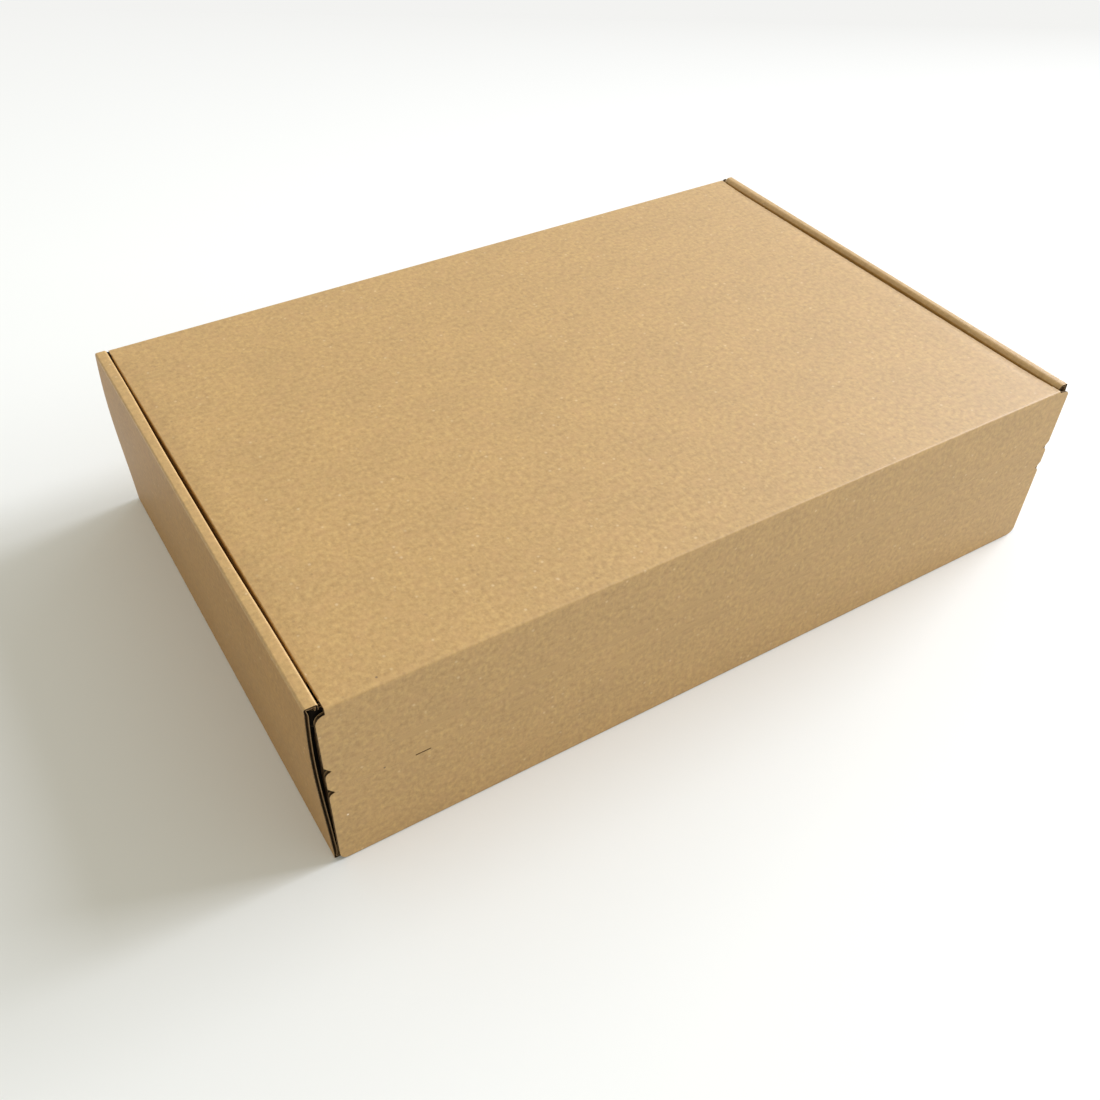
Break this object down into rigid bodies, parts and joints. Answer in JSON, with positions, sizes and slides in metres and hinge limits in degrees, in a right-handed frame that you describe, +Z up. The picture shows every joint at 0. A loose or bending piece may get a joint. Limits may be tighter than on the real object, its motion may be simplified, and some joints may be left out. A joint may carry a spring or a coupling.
{
  "type": "closed cardboard box",
  "caption": "Closed flat mailer box of plain brown corrugated cardboard, with rolled side walls and an outside front flap that has a tear strip.",
  "frame": {"origin": "on the floor under the centre of the box", "axes": "+X along the long front, to the right seen from the front; +Y from the front flap to the hinge side; +Z up"},
  "size_m": [0.3106, 0.2072, 0.0732],
  "materials": {
    "kraft_board": "uncoated brown liner, matt, with open flutes at the cut edges",
    "clear_tape": "thin double-sided tape, pale and matt"
  },
  "bodies": {
    "root": {"folded_board": "kraft_board", "seal_tape": "clear_tape"}
  },
  "joints": []
}
